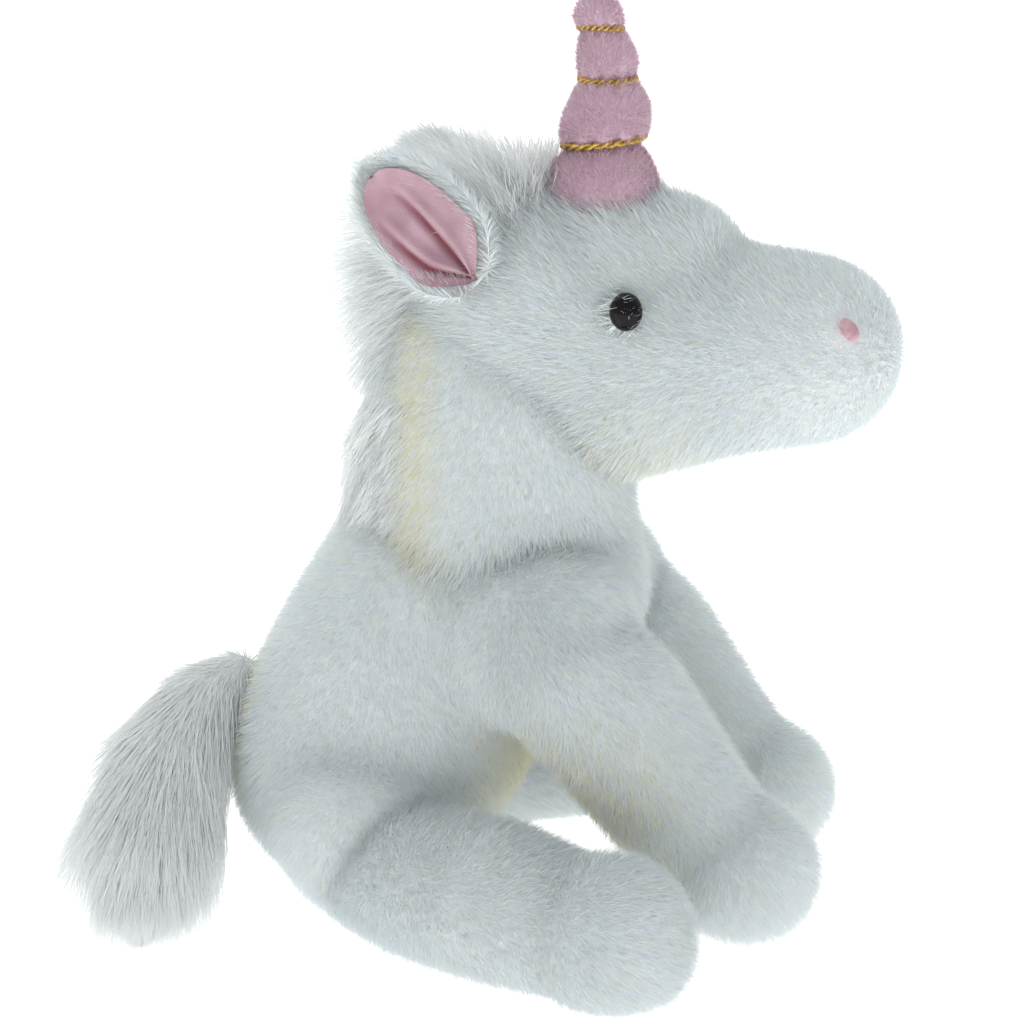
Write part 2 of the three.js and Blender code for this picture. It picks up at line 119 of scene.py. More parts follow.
velourDark = newMaterial("hornPileDeep", {"Base Color": (0.68, 0.47, 0.57, 1),
                                          "Roughness": 0.8, "Sheen Weight": 0.5})
satin = clothMaterial("earSatin", (0.42, 0.245, 0.30), (0.56, 0.36, 0.42),
                      0.012, 0.0007, 0.0003, {"Roughness": 0.6, "Sheen Weight": 0.4})


def addPaintedFoldShade(material, colour):  # the same cloth, darker where its "fold" attribute is: painted shade in the folds
    tree = material.node_tree
    shader = tree.nodes["Principled BSDF"]
    plain = shader.inputs["Base Color"].links[0].from_socket
    fold = addNode(tree, "ShaderNodeAttribute", attribute_name="fold")
    mix = addNode(tree, "ShaderNodeMix", data_type="RGBA")
    tree.links.new(fold.outputs["Fac"], mix.inputs["Factor"])
    tree.links.new(plain, mix.inputs["A"])
    mix.inputs["B"].default_value = (*colour, 1)
    tree.links.new(mix.outputs["Result"], shader.inputs["Base Color"])


# the painted shade colour for the lining's folds
addPaintedFoldShade(satin, (0.30, 0.06, 0.09))
patchThread = clothMaterial("nostrilThread", (0.48, 0.25, 0.30), (0.64, 0.42, 0.47),
                            0.003, 0.0004, 0.0001, {"Roughness": 0.5, "Sheen Weight": 0.3})
goldThread = clothMaterial("goldThread", (0.38, 0.22, 0.03), (0.85, 0.58, 0.14),
                           0.0012, 0.0003, 0.0001,
                           {"Roughness": 0.35, "Metallic": 0.5})
eyeGloss = clothMaterial("eyeGloss", (0.004, 0.004, 0.006), (0.012, 0.011, 0.013),
                         0.004, 0.02, 0.00001,
                         {"Roughness": 0.12, "Specular IOR Level": 0.16})


def newPiece(name, mesh):
    piece = bpy.data.objects.new(name, mesh)
    bpy.context.scene.collection.objects.link(piece)
    return piece


def settled(piece):  # what the live modifiers make of a piece, as its own plain mesh
    graph = bpy.context.evaluated_depsgraph_get()
    mesh = bpy.data.meshes.new_from_object(piece.evaluated_get(graph))
    old = piece.data
    piece.modifiers.clear()
    piece.data = mesh
    bpy.data.meshes.remove(old)
    mesh.name = piece.name
    return piece


def addBall(work, centre, radii):
    place = Matrix.Translation(centre) @ Matrix.Diagonal((*radii, 1))
    bmesh.ops.create_icosphere(work, subdivisions=3, radius=1, matrix=place)


# Rounded stops joined into one soft shape: each stop is (x, y, z, radius) in mm from a
# landmark, and width is how wide the shape is across the toy for its radius
def stuffedShape(name, landmark, chains, width=1.0, voxel=2.6, smoothing=8, balls=()):
    work = bmesh.new()
    for chain in chains:
        for first, second in zip(chain, chain[1:]):
            a, b = np.array(first, float), np.array(second, float)
            steps = max(2, int(np.linalg.norm(b[:3] - a[:3]) / 4))
            for i in range(steps + 1):
                x, y, z, radius = (a + (b - a) * i / steps) * mm
                addBall(work, landmark + Vector((x, y, z)),
                        (radius, radius * width, radius))
    for x, y, z, rx, ry, rz in balls:
        addBall(work, landmark + Vector((x, y, z)) * mm, (rx * mm, ry * mm, rz * mm))
    mesh = bpy.data.meshes.new(name)
    work.to_mesh(mesh)
    work.free()
    piece = newPiece(name, mesh)
    remesh = piece.modifiers.new("remesh", "REMESH")
    remesh.mode = "VOXEL"
    remesh.voxel_size = voxel * mm
    smooth = piece.modifiers.new("smooth", "SMOOTH")
    smooth.factor = 0.5
    smooth.iterations = smoothing
    settled(piece)
    piece.data.materials.clear()
    piece.data.materials.append(backing)
    return piece


def smoothShade(piece):
    for face in piece.data.polygons:
        face.use_smooth = True


def points(piece):
    places = np.empty(len(piece.data.vertices) * 3, np.float32)
    piece.data.vertices.foreach_get("co", places)
    return places.reshape(-1, 3)


def normals(piece):
    found = np.empty(len(piece.data.vertices) * 3, np.float32)
    piece.data.vertices.foreach_get("normal", found)
    return found.reshape(-1, 3)


# Cloth blown up a little between its seams; pin says how firmly each point is sewn
def inflate(piece, pin, cap=2.5, pressure=40.0, frames=20):
    start = points(piece)
    group = piece.vertex_groups.new(name="seam")
    for index, weight in enumerate(pin(start)):
        if weight > 0.01:
            group.add([index], float(min(1, weight)), "REPLACE")
    scene = bpy.context.scene
    cloth = piece.modifiers.new("cloth", "CLOTH")
    cloth.settings.use_pressure = True
    cloth.settings.uniform_pressure_force = pressure
    cloth.settings.vertex_group_mass = "seam"
    cloth.settings.effector_weights.gravity = 0
    cloth.settings.quality = 4
    cloth.point_cache.frame_start = 1
    cloth.point_cache.frame_end = frames
    for number in range(1, frames + 1):
        scene.frame_set(number)
    settled(piece)
    scene.frame_set(1)
    moved = points(piece) - start
    reach = np.linalg.norm(moved, axis=1, keepdims=True)
    moved *= np.minimum(1, cap * mm / np.maximum(reach, 1e-9))
    piece.data.vertices.foreach_set("co", (start + moved).ravel())
    piece.vertex_groups.clear()
    piece.data.update()
    print("  inflated", piece.name, "by up to", round(float(reach.max()) * 1000, 1), "mm")
    return piece


pileInputs = {  # name: (kind, default)
    "Density": ("NodeSocketFloat", 2e6), "Length": ("NodeSocketFloat", 0.007),
    "Width": ("NodeSocketFloat", 0.0004), "Lean": ("NodeSocketFloat", 0.8),
    "Mess": ("NodeSocketFloat", 0.25), "Tuft Size": ("NodeSocketFloat", 0.006),
    "Tuft Pull": ("NodeSocketFloat", 0.3), "Bend": ("NodeSocketFloat", 0.2),
    "Twist": ("NodeSocketFloat", 0.3), "Warm Share": ("NodeSocketFloat", 0.1),
    "Seed": ("NodeSocketInt", 1), "Cool": ("NodeSocketMaterial", None),
    "White": ("NodeSocketMaterial", None), "Warm": ("NodeSocketMaterial", None),
}


# One tree for every pile: hairs stand on a skin, lean with its nap and gather in tufts.
# A hair is a strip of joints that tapers to a point, or a plain spike with one joint.
def pileTree(hairJoints):
    tree = bpy.data.node_groups.new(f"pile{hairJoints}", "GeometryNodeTree")
    tree.interface.new_socket("Geometry", in_out="INPUT", socket_type="NodeSocketGeometry")
    for name, (kind, default) in pileInputs.items():
        socket = tree.interface.new_socket(name, in_out="INPUT", socket_type=kind)
        if default is not None:
            socket.default_value = default
    tree.interface.new_socket("Geometry", in_out="OUTPUT", socket_type="NodeSocketGeometry")

    def add(kind, inputs=None, **settings):
        return addNode(tree, kind, inputs, **settings)

    def calc(operation, *values):
        made = add("ShaderNodeMath", operation=operation)
        return wired(made, values)

    def vectorCalc(operation, *values):
        made = add("ShaderNodeVectorMath", operation=operation)
        if operation == "SCALE":
            return wired(made, values[:1], {"Scale": values[1]})
        return wired(made, values)

    def wired(made, values, named=None):
        for slot, value in [*enumerate(values), *(named or {}).items()]:
            if isinstance(value, bpy.types.NodeSocket):
                tree.links.new(value, made.inputs[slot])
            else:
                made.inputs[slot].default_value = value
        return made.outputs[0]

    given = add("NodeGroupInput").outputs
    seed = given["Seed"]

    def randomNumber(low, high, shift):
        made = add("FunctionNodeRandomValue", {"Seed": calc("ADD", seed, shift)},
                   data_type="FLOAT")
        made.inputs[2].default_value = low
        made.inputs[3].default_value = high
        return made.outputs[1]

    def randomVector(shift):
        made = add("FunctionNodeRandomValue", {"Seed": calc("ADD", seed, shift)},
                   data_type="FLOAT_VECTOR")
        made.inputs[0].default_value = (-1, -1, -1)
        made.inputs[1].default_value = (1, 1, 1)
        return made.outputs[0]

    def attribute(name, kind):
        return add("GeometryNodeInputNamedAttribute", {"Name": name},
                   data_type=kind).outputs["Attribute"]

    pile = attribute("pile", "FLOAT")
    scattered = add("GeometryNodeDistributePointsOnFaces",
                    {"Mesh": given["Geometry"], "Seed": seed,
                     "Density": calc("MULTIPLY", given["Density"],
                                     calc("GREATER_THAN", pile, 0.05))})
    kept = add("GeometryNodeStoreNamedAttribute",
               {"Geometry": scattered.outputs["Points"], "Name": "rootNormal",
                "Value": scattered.outputs["Normal"]},
               data_type="FLOAT_VECTOR", domain="POINT").outputs["Geometry"]

    # the way a hair points: out of the skin, with the nap, a little its own way
    outward = attribute("rootNormal", "FLOAT_VECTOR")
    nap = attribute("flow", "FLOAT_VECTOR")
    place = add("GeometryNodeInputPosition").outputs[0]
    drift = add("ShaderNodeTexNoise", {"Vector": place, "Scale": 55.0, "Detail": 1.0})
    drift = vectorCalc("SUBTRACT", drift.outputs["Color"], (0.5, 0.5, 0.5))
    size = given["Tuft Size"]
    cell = add("ShaderNodeTexVoronoi", {"Vector": place, "Scale": calc("DIVIDE", 1.0, size)})
    gather = vectorCalc("SUBTRACT", cell.outputs["Position"], place)
    gather = vectorCalc("SCALE", gather, calc("DIVIDE", given["Tuft Pull"], size))
    aim = vectorCalc("ADD", outward, vectorCalc("SCALE", nap, given["Lean"]))
    aim = vectorCalc("ADD", aim, gather)
    aim = vectorCalc("ADD", aim, vectorCalc("SCALE", drift, calc("MULTIPLY", given["Mess"], 2.4)))
    aim = vectorCalc("ADD", aim, vectorCalc("SCALE", randomVector(1), given["Mess"]))

    turn = add("FunctionNodeAlignRotationToVector", {"Vector": aim}, axis="Z")
    turn = add("FunctionNodeAlignRotationToVector",
               {"Rotation": turn.outputs[0], "Vector": outward}, axis="Y", pivot_axis="Z")
    twist = add("FunctionNodeAxisAngleToRotation",
                {"Axis": (0, 0, 1),
                 "Angle": calc("MULTIPLY", randomNumber(-1.0, 1.0, 2), given["Twist"])})
    turn = add("FunctionNodeRotateRotation",
               {"Rotation": turn.outputs[0], "Rotate By": twist.outputs[0]},
               rotation_space="LOCAL")

    # one hair of length and width 1, flat side to +Y, bending away from it
    strip = add("GeometryNodeMeshGrid", {"Size X": 1.0, "Size Y": 1.0, "Vertices X": 2,
                                         "Vertices Y": hairJoints + 1})
    rise = add("ShaderNodeSeparateXYZ", {"Vector": add("GeometryNodeInputPosition").outputs[0]})
    along = calc("ADD", rise.outputs["Y"], 0.5)
    narrow = calc("SUBTRACT", 1.0, calc("POWER", along, 1.6))
    curl = calc("MULTIPLY", calc("POWER", along, 2.0), calc("MULTIPLY", given["Bend"], -1.0))
    shape = add("ShaderNodeCombineXYZ", {"X": calc("MULTIPLY", rise.outputs["X"], narrow),
                                         "Y": curl, "Z": along})
    hair = add("GeometryNodeSetPosition",
               {"Geometry": strip.outputs["Mesh"], "Position": shape.outputs[0]})
    hair = add("GeometryNodeMergeByDistance", {"Geometry": hair.outputs[0]})
    hair = add("GeometryNodeFlipFaces", {"Mesh": hair.outputs[0]})  # its front looks outward
    size = calc("MULTIPLY", calc("MULTIPLY", given["Length"], pile),
                randomNumber(0.65, 1.1, 3))
    scale = add("ShaderNodeCombineXYZ", {"X": given["Width"], "Y": size, "Z": size})
    placed = add("GeometryNodeInstanceOnPoints",
                 {"Points": kept, "Instance": hair.outputs[0],
                  "Rotation": turn.outputs[0], "Scale": scale.outputs[0]})

    # most hairs are white, the rest a cooler or a warmer white at random; extra warm hairs, placed
    # by the skin's marks, are painted glow where backlight shines through the fur
    grown = add("GeometryNodeRealizeInstances", {"Geometry": placed.outputs[0]})
    grown = add("GeometryNodeSetMaterial",
                {"Geometry": grown.outputs[0], "Material": given["White"]})
    tone = attribute("tone", "FLOAT")
    glowWarmth = calc("ADD", attribute("glowWarmth", "FLOAT"), given["Warm Share"])
    for name, chosen in (("Cool", calc("GREATER_THAN", tone, 0.6)),
                         ("Warm", calc("LESS_THAN", tone, glowWarmth))):
        grown = add("GeometryNodeSetMaterial", {"Geometry": grown.outputs[0],
                                                "Selection": chosen,
                                                "Material": given[name]})
    add("NodeGroupOutput", {"Geometry": grown.outputs[0]})

    toned = add("GeometryNodeStoreNamedAttribute",
                {"Geometry": kept, "Name": "tone", "Value": randomNumber(0.0, 1.0, 4)},
                data_type="FLOAT", domain="POINT").outputs["Geometry"]
    tree.links.new(toned, placed.inputs["Points"])
    return tree


trees = {}


def growPile(name, skin, look, materials=pileMaterials):
    hairJoints = look.get("joints", 1)
    if hairJoints not in trees:
        trees[hairJoints] = pileTree(hairJoints)
    tree = trees[hairJoints]
    values = {
        "Density": look["perMm2"] * 1e6,  # hairs in a square metre
        "Length": look["length"] * mm, "Width": look["width"] * mm,
        "Lean": look["lean"], "Mess": look["mess"],
        "Tuft Size": look["tuft"] * mm, "Tuft Pull": look["pull"],
        "Bend": look["bend"], "Twist": look.get("twist", 0.3),
        "Warm Share": look.get("warm", 0.06), "Seed": look["seed"], "Cool": materials["cool"],
        "White": materials["white"], "Warm": materials["warm"],
    }
    fur = newPiece(name, skin.data.copy())
    grow = fur.modifiers.new("pile", "NODES")
    grow.node_group = tree
    for item in tree.interface.items_tree:
        if item.in_out == "INPUT" and item.name in values:
            grow[item.identifier] = values[item.name]
    settled(fur)
    mesh = fur.data
    for extra in [a.name for a in mesh.attributes
                  if a.name in ("rootNormal", "flow", "pile", "tone", "glowWarmth")]:
        mesh.attributes.remove(mesh.attributes[extra])
    seated(fur, 0.3)
    smoothShade(fur)
    print("  grew", name, len(mesh.polygons), "faces")
    return fur


# nap, hair lengths and warm shares on a skin, each from a function of its points; the warm shares
# are painted glow
def comb(skin, flow, pile=None, glowWarmth=None):
    places, outward = points(skin), normals(skin)
    way = np.asarray(flow(places), float)
    way = np.broadcast_to(way, places.shape).copy()
    way -= outward * np.sum(way * outward, axis=1, keepdims=True)  # along the skin
    stored = skin.data.attributes.new("flow", "FLOAT_VECTOR", "POINT")
    stored.data.foreach_set("vector", way.astype(np.float32).ravel())
    for name, function, plain in (("pile", pile, 1.0), ("glowWarmth", glowWarmth, 0.0)):
        values = np.full(len(places), plain) if function is None else function(places)
        stored = skin.data.attributes.new(name, "FLOAT", "POINT")
        stored.data.foreach_set("value", np.asarray(values, np.float32))


def millimetres(point):
    return Vector(point) * mm


def along(*direction):
    return lambda places: np.array(Vector(direction).normalized())


def away(place):  # nap that runs away from a point
    def flow(places):
        way = places - np.array(place)
        return way / np.maximum(np.linalg.norm(way, axis=1, keepdims=True), 1e-6)
    return flow


def near(places, spot, radius):  # 1 at a spot, falling to 0 at a radius in mm
    gap = np.linalg.norm(places - np.array(spot), axis=1) / (radius * mm)
    return np.clip(1 - gap, 0, 1)


plushPile = {"perMm2": 3.0, "length": 5.4, "width": 0.22, "lean": 0.8, "mess": 0.30,
             "tuft": 4.0, "pull": 0.12, "bend": 0.15, "twist": 1.2, "seed": 11}

nod = jointPlaces["head_nod"]
turn = jointPlaces["neck_turn"]
hornRoot = jointPlaces["horn_flex"]
tailRoot = jointPlaces["tail_lift"]
shoulders = {s: jointPlaces[f"front_leg_{s}_swing"] for s in sides}
hips = {s: jointPlaces[f"hind_leg_{s}_splay"] for s in sides}
earRoots = {s: jointPlaces[f"ear_{s}_lift"] for s in sides}
pileDepth = 3.0  # how far the pile stands out of the backing


def inset(chain):
    return [(x, y, z, radius - pileDepth) for x, y, z, radius in chain]


def seated(piece, floor=0.6):  # flat where it would go through the floor
    places = points(piece)
    places[:, 2] = np.maximum(places[:, 2], floor * mm)
    piece.data.vertices.foreach_set("co", places.ravel())
    piece.data.update()


def offFloor(places, start=1.0, full=7.0):  # no pile between the toy and the floor
    return np.clip((places[:, 2] / mm - start) / (full - start), 0, 1)


# A stuffed piece with its pile: it stands for its panels and what they hold
def dress(skin, bodyName, nodes, flow, pile=None, glowWarmth=None, look=plushPile):
    smoothShade(skin)
    comb(skin, flow, pile, glowWarmth)
    fur = growPile(skin.name.replace("Skin", "Pile"), skin, look)
    for name in ("flow", "pile", "glowWarmth"):
        skin.data.attributes.remove(skin.data.attributes[name])
    fur.parent = skin
    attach(skin, bodyName)
    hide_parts(*nodes)
    return fur


body = {  # stops from the neck's turning point, mm
    "spine": [(-40, 0, -78.5, 46), (-27, 0, -52, 46), (-15, 0, -26, 42), (5, 0, -22, 42)],
    "width": 1.06,
    "shoulder": (31, 23.5, 30),  # half sizes round each shoulder
    "hip": 29,
    "shoulderIn": 0.92, "hipIn": 0.88,  # nearer the middle than the joints
    "belly": (-6, 0, -57, 21, 21, 18),
    "nodes": ["body_panel_left", "body_panel_right", "body_stuffing", "seat_bean_bag"],
}


def seamLine(level, axis=1, spread=4.0):  # how near a point is to a seam in a flat plane
    return lambda places: np.exp(-((places[:, axis] - level * mm) / (spread * mm)) ** 2)


def makeBody():
    balls = []
    for side in sides:
        rx, ry, rz = (size - pileDepth for size in body["shoulder"])
        at = (shoulders[side] - turn) / mm
        balls.append((at.x, at.y * body["shoulderIn"], at.z, rx, ry, rz))
        at = (hips[side] - turn) / mm
        size = body["hip"] - pileDepth
        balls.append((at.x, at.y * body["hipIn"], at.z + 1, size, size, size))
    balls.append(body["belly"])
    skin = stuffedShape("bodySkin", turn, [inset(body["spine"])], body["width"],
                        voxel=3.2, smoothing=26, balls=balls)
    inflate(skin, seamLine(0), cap=2.0)
    seated(skin)

    def shown(places):
        return offFloor(places) * (places[:, 2] < turn.z + 4 * mm)

    # painted glow: warm pile under the belly and below the tail root, where backlight shines
    # through the fur
    def glowWarmth(places):
        belly = near(places, (turn.x + 0.020, 0, 0.055), 46)
        return np.maximum(1.3 * belly, 0.9 * near(places, tailRoot - millimetres((0, 0, 14)), 34))

    def flow(places):  # down the back, and down each shoulder into its leg
        legs = sum(near(places, shoulders[side], 46) for side in sides)[:, None]
        return np.array([0.12, 0, -1]) + legs * np.array([0.5, 0, 0])

    dress(skin, "torso", body["nodes"], flow, shown, glowWarmth,
          {**plushPile, "seed": 3})


neck = {
    "post": [(0, 0, -16, 42), (0, 0, 12, 42.5), (0, 0, 30, 41.5), (0, 0, 46, 38)],
    "nodes": ["neck_panel_left", "neck_panel_right", "neck_stuffing"],
    "crest": {"halfWidth": 33, "low": -8, "high": 40, "behind": 17,
              "long": [(-8, 0.95), (20, 0.7)]},  # hair length by height
}
longPile = {"perMm2": 2.6, "length": 44, "width": 0.24, "lean": 0.75, "mess": 0.20,
            "tuft": 7.0, "pull": 0.38, "bend": 0.35, "twist": 1.2, "seed": 21, "joints": 4,
            "warm": 0.03}
foldGlow = {"share": 0.6, "behind": 18, "spread": 7}  # painted glow: warm pile in the crease before the mane, where backlight shines through the fur


def creaseGlow(places):  # how much of the pile is warm there, as painted glow in the crease
    gap = (places[:, 0] - turn.x) / mm + foldGlow["behind"]
    return foldGlow["share"] * np.exp(-(gap / foldGlow["spread"]) ** 2)


def makeNeck():
    skin = stuffedShape("neckSkin", turn, [inset(neck["post"])], 1.0, voxel=3, smoothing=10)
    inflate(skin, seamLine(0), cap=1.5)
    hairySkin = newPiece("neckCrest", skin.data.copy())

    def pile(places):  # longest where it falls over the body
        return 1 + 0.8 * np.clip((turn.z + 14 * mm - places[:, 2]) / (22 * mm), 0, 1)

    dress(skin, "neck", neck["nodes"], along(-0.2, 0, -1), pile, creaseGlow,
          {**plushPile, "seed": 4})
    crest = neck["crest"]

    def hairs(places):
        behind = (turn.x - places[:, 0]) / mm > crest["behind"]
        across = 1 - np.clip(np.abs(places[:, 1]) / mm / crest["halfWidth"], 0, 1) ** 3
        rise = (places[:, 2] - turn.z) / mm
        inside = (rise > crest["low"]) & (rise < crest["high"])
        return behind * inside * across * np.interp(rise, *zip(*crest["long"]))

    growMane("neckManeHair", hairySkin, along(-0.6, 0, -1), hairs, "neck", ["neck_mane"],
             {**longPile, "seed": 22, "lean": 2.2})


def growMane(name, skin, flow, hairs, bodyName, nodes, look):
    comb(skin, flow, hairs)
    hair = growPile(name, skin, look, longMaterials)
    bpy.data.objects.remove(skin)
    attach(hair, bodyName)
    if nodes:
        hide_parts(*nodes)
    return hair


head = {  # stops from the head's nodding point, mm
    "crown": [(11, 0, 31, 42), (31, 0, 19.5, 38), (66, 0, 24.5, 33.5), (91.5, 0, 25, 30)],
    "forehead": [(30, 0, 44, 31), (52, 0, 47, 24)],
    "width": 0.93,
    "nodes": ["head_panel_left", "head_panel_right", "head_stuffing",
              "eye_washer_left", "eye_washer_right"],
    "mane": {"angles": [88, 104, 130, 160, 205], "long": [0.4, 0.8, 1.1, 0.8, 0.75],
             "halfWidth": 24},
    "forelock": {"angles": [80, 98], "long": [0.4, 0.6], "halfWidth": 17},
    "upright": [(88, 0.15), (120, 1.0)],  # how flat the long pile lies, round the crown
    "muzzle": {"start": 60, "full": 105, "shorter": 0.38},
    "cheek": (20, 30, -4), "jawGlow": (40, -18, -14), "noseTip": (119.5, 0, 26),
}


def roundCrown(places):  # degrees round the crown from straight ahead
    x = (places[:, 0] - nod.x) / mm - head["crown"][0][0]
    z = (places[:, 2] - nod.z) / mm - head["crown"][0][2]
    return np.degrees(np.arctan2(z, x)) % 360


def crestOf(part):
    def hairs(places):
        angle = roundCrown(places)
        inside = (angle > part["angles"][0]) & (angle < part["angles"][-1])
        side = np.abs(places[:, 1]) / mm / part["halfWidth"]
        long = np.interp(angle, part["angles"], part["long"])
        return inside * (1 - np.clip(side, 0, 1) ** 3) * long
    return hairs


def makeHead():
    skin = stuffedShape("headSkin", nod, [inset(head["crown"]), inset(head["forehead"])],
                        head["width"], voxel=2.6, smoothing=12)
    inflate(skin, seamLine(0), cap=1.5)
    scalp = {part: newPiece(part + "Scalp", skin.data.copy())
             for part in ("mane", "wisps", "forelock", "lash")}
    noseTip = nod + millimetres(head["noseTip"])

    def pile(places):
        long = np.ones(len(places))
        forward = (places[:, 0] - nod.x) / mm
        muzzle = head["muzzle"]
        share = (forward - muzzle["start"]) / (muzzle["full"] - muzzle["start"])
        long -= muzzle["shorter"] * np.clip(share, 0, 1)
        long += 0.9 * near(places, hornRoot, 27)  # round the horn, and over the fold of the jaw
        for side in sides:
            x, y, z = head["cheek"]
            long += 0.8 * near(places, nod + millimetres((x, sides[side] * y, z)), 32)
            long -= 0.55 * (near(places, eyePlace(side), eye["clear"]) > 0)
            long -= 0.5 * (near(places, nostrilPlace(side), nostril["clear"]) > 0)
        return np.clip(long, 0, 1.7)

    # painted glow: warm pile over the jaw and, below the head, in the crease before the mane,
    # where backlight shines through the fur
    def glowWarmth(places):
        jaw = near(places, nod + millimetres(head["jawGlow"]), 34)
        below = np.clip((nod.z - places[:, 2]) / (30 * mm) + 1, 0, 1)
        return np.maximum(0.35 * jaw, creaseGlow(places) * below)

    dress(skin, "head", head["nodes"], away(noseTip), pile, glowWarmth,
          {**plushPile, "perMm2": 3.6, "seed": 5})

    def backward(places):
        degrees = roundCrown(places)
        angle = np.radians(degrees)
        lying = np.interp(degrees, *zip(*head["upright"]))[:, None]
        return lying * np.stack([-np.sin(angle), 0 * angle, np.cos(angle)], axis=1)

    growMane("maneHair", scalp["mane"], backward, crestOf(head["mane"]), "head", ["mane"],
             longPile)
    growMane("maneWisps", scalp["wisps"], backward, crestOf(head["mane"]), "head", [],
             {**longPile, "perMm2": 0.3, "length": 50, "width": 0.18, "lean": 0.45,
              "mess": 0.34, "seed": 25})
    growMane("forelockHair", scalp["forelock"], lambda places: -backward(places),
             crestOf(head["forelock"]), "head", ["forelock"],
             {**longPile, "seed": 23, "lean": 0.2, "perMm2": 3.0})

    def lashes(places):  # hairs behind and under each eye, that fall over its edge
        found = np.zeros(len(places))
        for side in sides:
            gap = (places - np.array(eyePlace(side))) / mm
            reach = np.linalg.norm(gap, axis=1)
            behind = (gap[:, 0] < 1.5) & (gap[:, 0] + gap[:, 2] < 3)
            inside = (reach > eye["fringe"][0]) & (reach < eye["fringe"][1])
            found += inside & behind & (gap[:, 1] * sides[side] < 4)
        return found

    def towardsEye(places):
        way = np.zeros_like(places)
        for side in sides:
            gap = np.array(eyePlace(side) + millimetres((2, 0, -1))) - places
            own = places[:, 1:2] * sides[side] > 0
            way += own * gap / np.linalg.norm(gap, axis=1, keepdims=True)
        return way

    comb(scalp["lash"], towardsEye, lashes)
    lash = growPile("eyeFringe", scalp["lash"],
                    {**plushPile, "perMm2": 2.2, "length": 10.8, "width": 0.30, "lean": 1.0,
                     "tuft": 3, "pull": 0.6, "joints": 4, "seed": 51})
    bpy.data.objects.remove(scalp["lash"])
    lash.parent = skin
    return skin


eye = {"forward": 42, "up": 40, "radius": 5.5, "height": 4.4, "aim": (0.17, 1, 0.3),
       "narrow": 0.86, "sunk": 1.45,  # against its radius and its height
       "clear": 7, "fringe": (5.2, 9.5)}  # distances from its middle, for the pile
nostril = {"size": (2.5, 3.8, 1.3), "out": 2.9, "back": 2.3, "tilt": -32, "clear": 5}


def outermost(node, side):  # how far out a CAD node reaches on its side
    low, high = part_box(node)
    return high[1] if sides[side] > 0 else -low[1]


def eyePlace(side):
    out = outermost(f"eye_{side}", side) / mm - eye["height"] * eye["sunk"]
    return nod + millimetres((eye["forward"], sides[side] * out, eye["up"]))


def nostrilPlace(side):
    low, high = (Vector(corner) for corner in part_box(f"nostril_{side}"))
    return (low + high) / 2 - millimetres((nostril["back"], 0, 0))


def aimed(place, aim, spin=0):  # local +Z along a direction
    turned = Vector(aim).to_track_quat("Z", "Y").to_matrix().to_4x4()
    return Matrix.Translation(place) @ turned @ Matrix.Rotation(math.radians(spin), 4, "Z")


def ballPiece(name, place, radii, material):
    work = bmesh.new()
    bmesh.ops.create_uvsphere(work, u_segments=48, v_segments=24, radius=1,
                              matrix=place @ Matrix.Diagonal((*(Vector(radii) * mm), 1)))
    mesh = bpy.data.meshes.new(name)
    work.to_mesh(mesh)
    work.free()
    mesh.materials.append(material)
    piece = newPiece(name, mesh)
    smoothShade(piece)
    return piece


def makeFace(headSkin):
    # the head's backing, which the patches are sewn on
    surface = BVHTree.FromPolygons([v.co for v in headSkin.data.vertices],
                                   [p.vertices[:] for p in headSkin.data.polygons])
    for side, s in sides.items():
        aim = Vector(eye["aim"])
        aim.y *= s
        dome = ballPiece(f"eye_{side}_dome", aimed(eyePlace(side), aim),
                         (eye["radius"] * eye["narrow"], eye["radius"], eye["height"]), eyeGloss)
        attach(dome, "head")
        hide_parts(f"eye_{side}")
        middle = nostrilPlace(side)
        spot, aim = surface.find_nearest(middle)[:2]
        patch = ballPiece(f"nostril_{side}_patch",
                          aimed(spot + aim * nostril["out"] * mm, aim,
                                spin=nostril["tilt"] * s),
                          nostril["size"], patchThread)
        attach(patch, "head")
        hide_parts(f"nostril_{side}")


frontLeg = {
    "limb": [(0, 0, -1, 25.5), (20, 0, -20, 26), (38, 0, -44, 24), (50, 0, -57, 21.5)],
    "width": 0.76,
    "paw": (59.5, 0, -66, 24.5, 20, 24),
}
hindLeg = {
    "limb": [(6, 1, -7, 23), (24, 14, -8, 24.5), (44, 25, -7, 25.5), (62, 32, -9, 23.3)],
    "width": 0.95,
    "foot": (80, 39.5, -9.5, 25.5, 22.5, 25.5),
}


def glowNear(share, x, y, z, radius):  # a share of warm pile round a place, in mm, as painted glow where backlight shines through the fur
    return lambda places: share * near(places, (x * mm, y * mm, z * mm), radius)


def legNodes(kind, side):
    return [f"{kind}_leg_{side}_{part}"
            for part in ("outer_panel", "inner_panel", "stuffing", "bean_bag")]


def inflatedBall(ball):
    return ball[:3] + tuple(size - pileDepth for size in ball[3:])


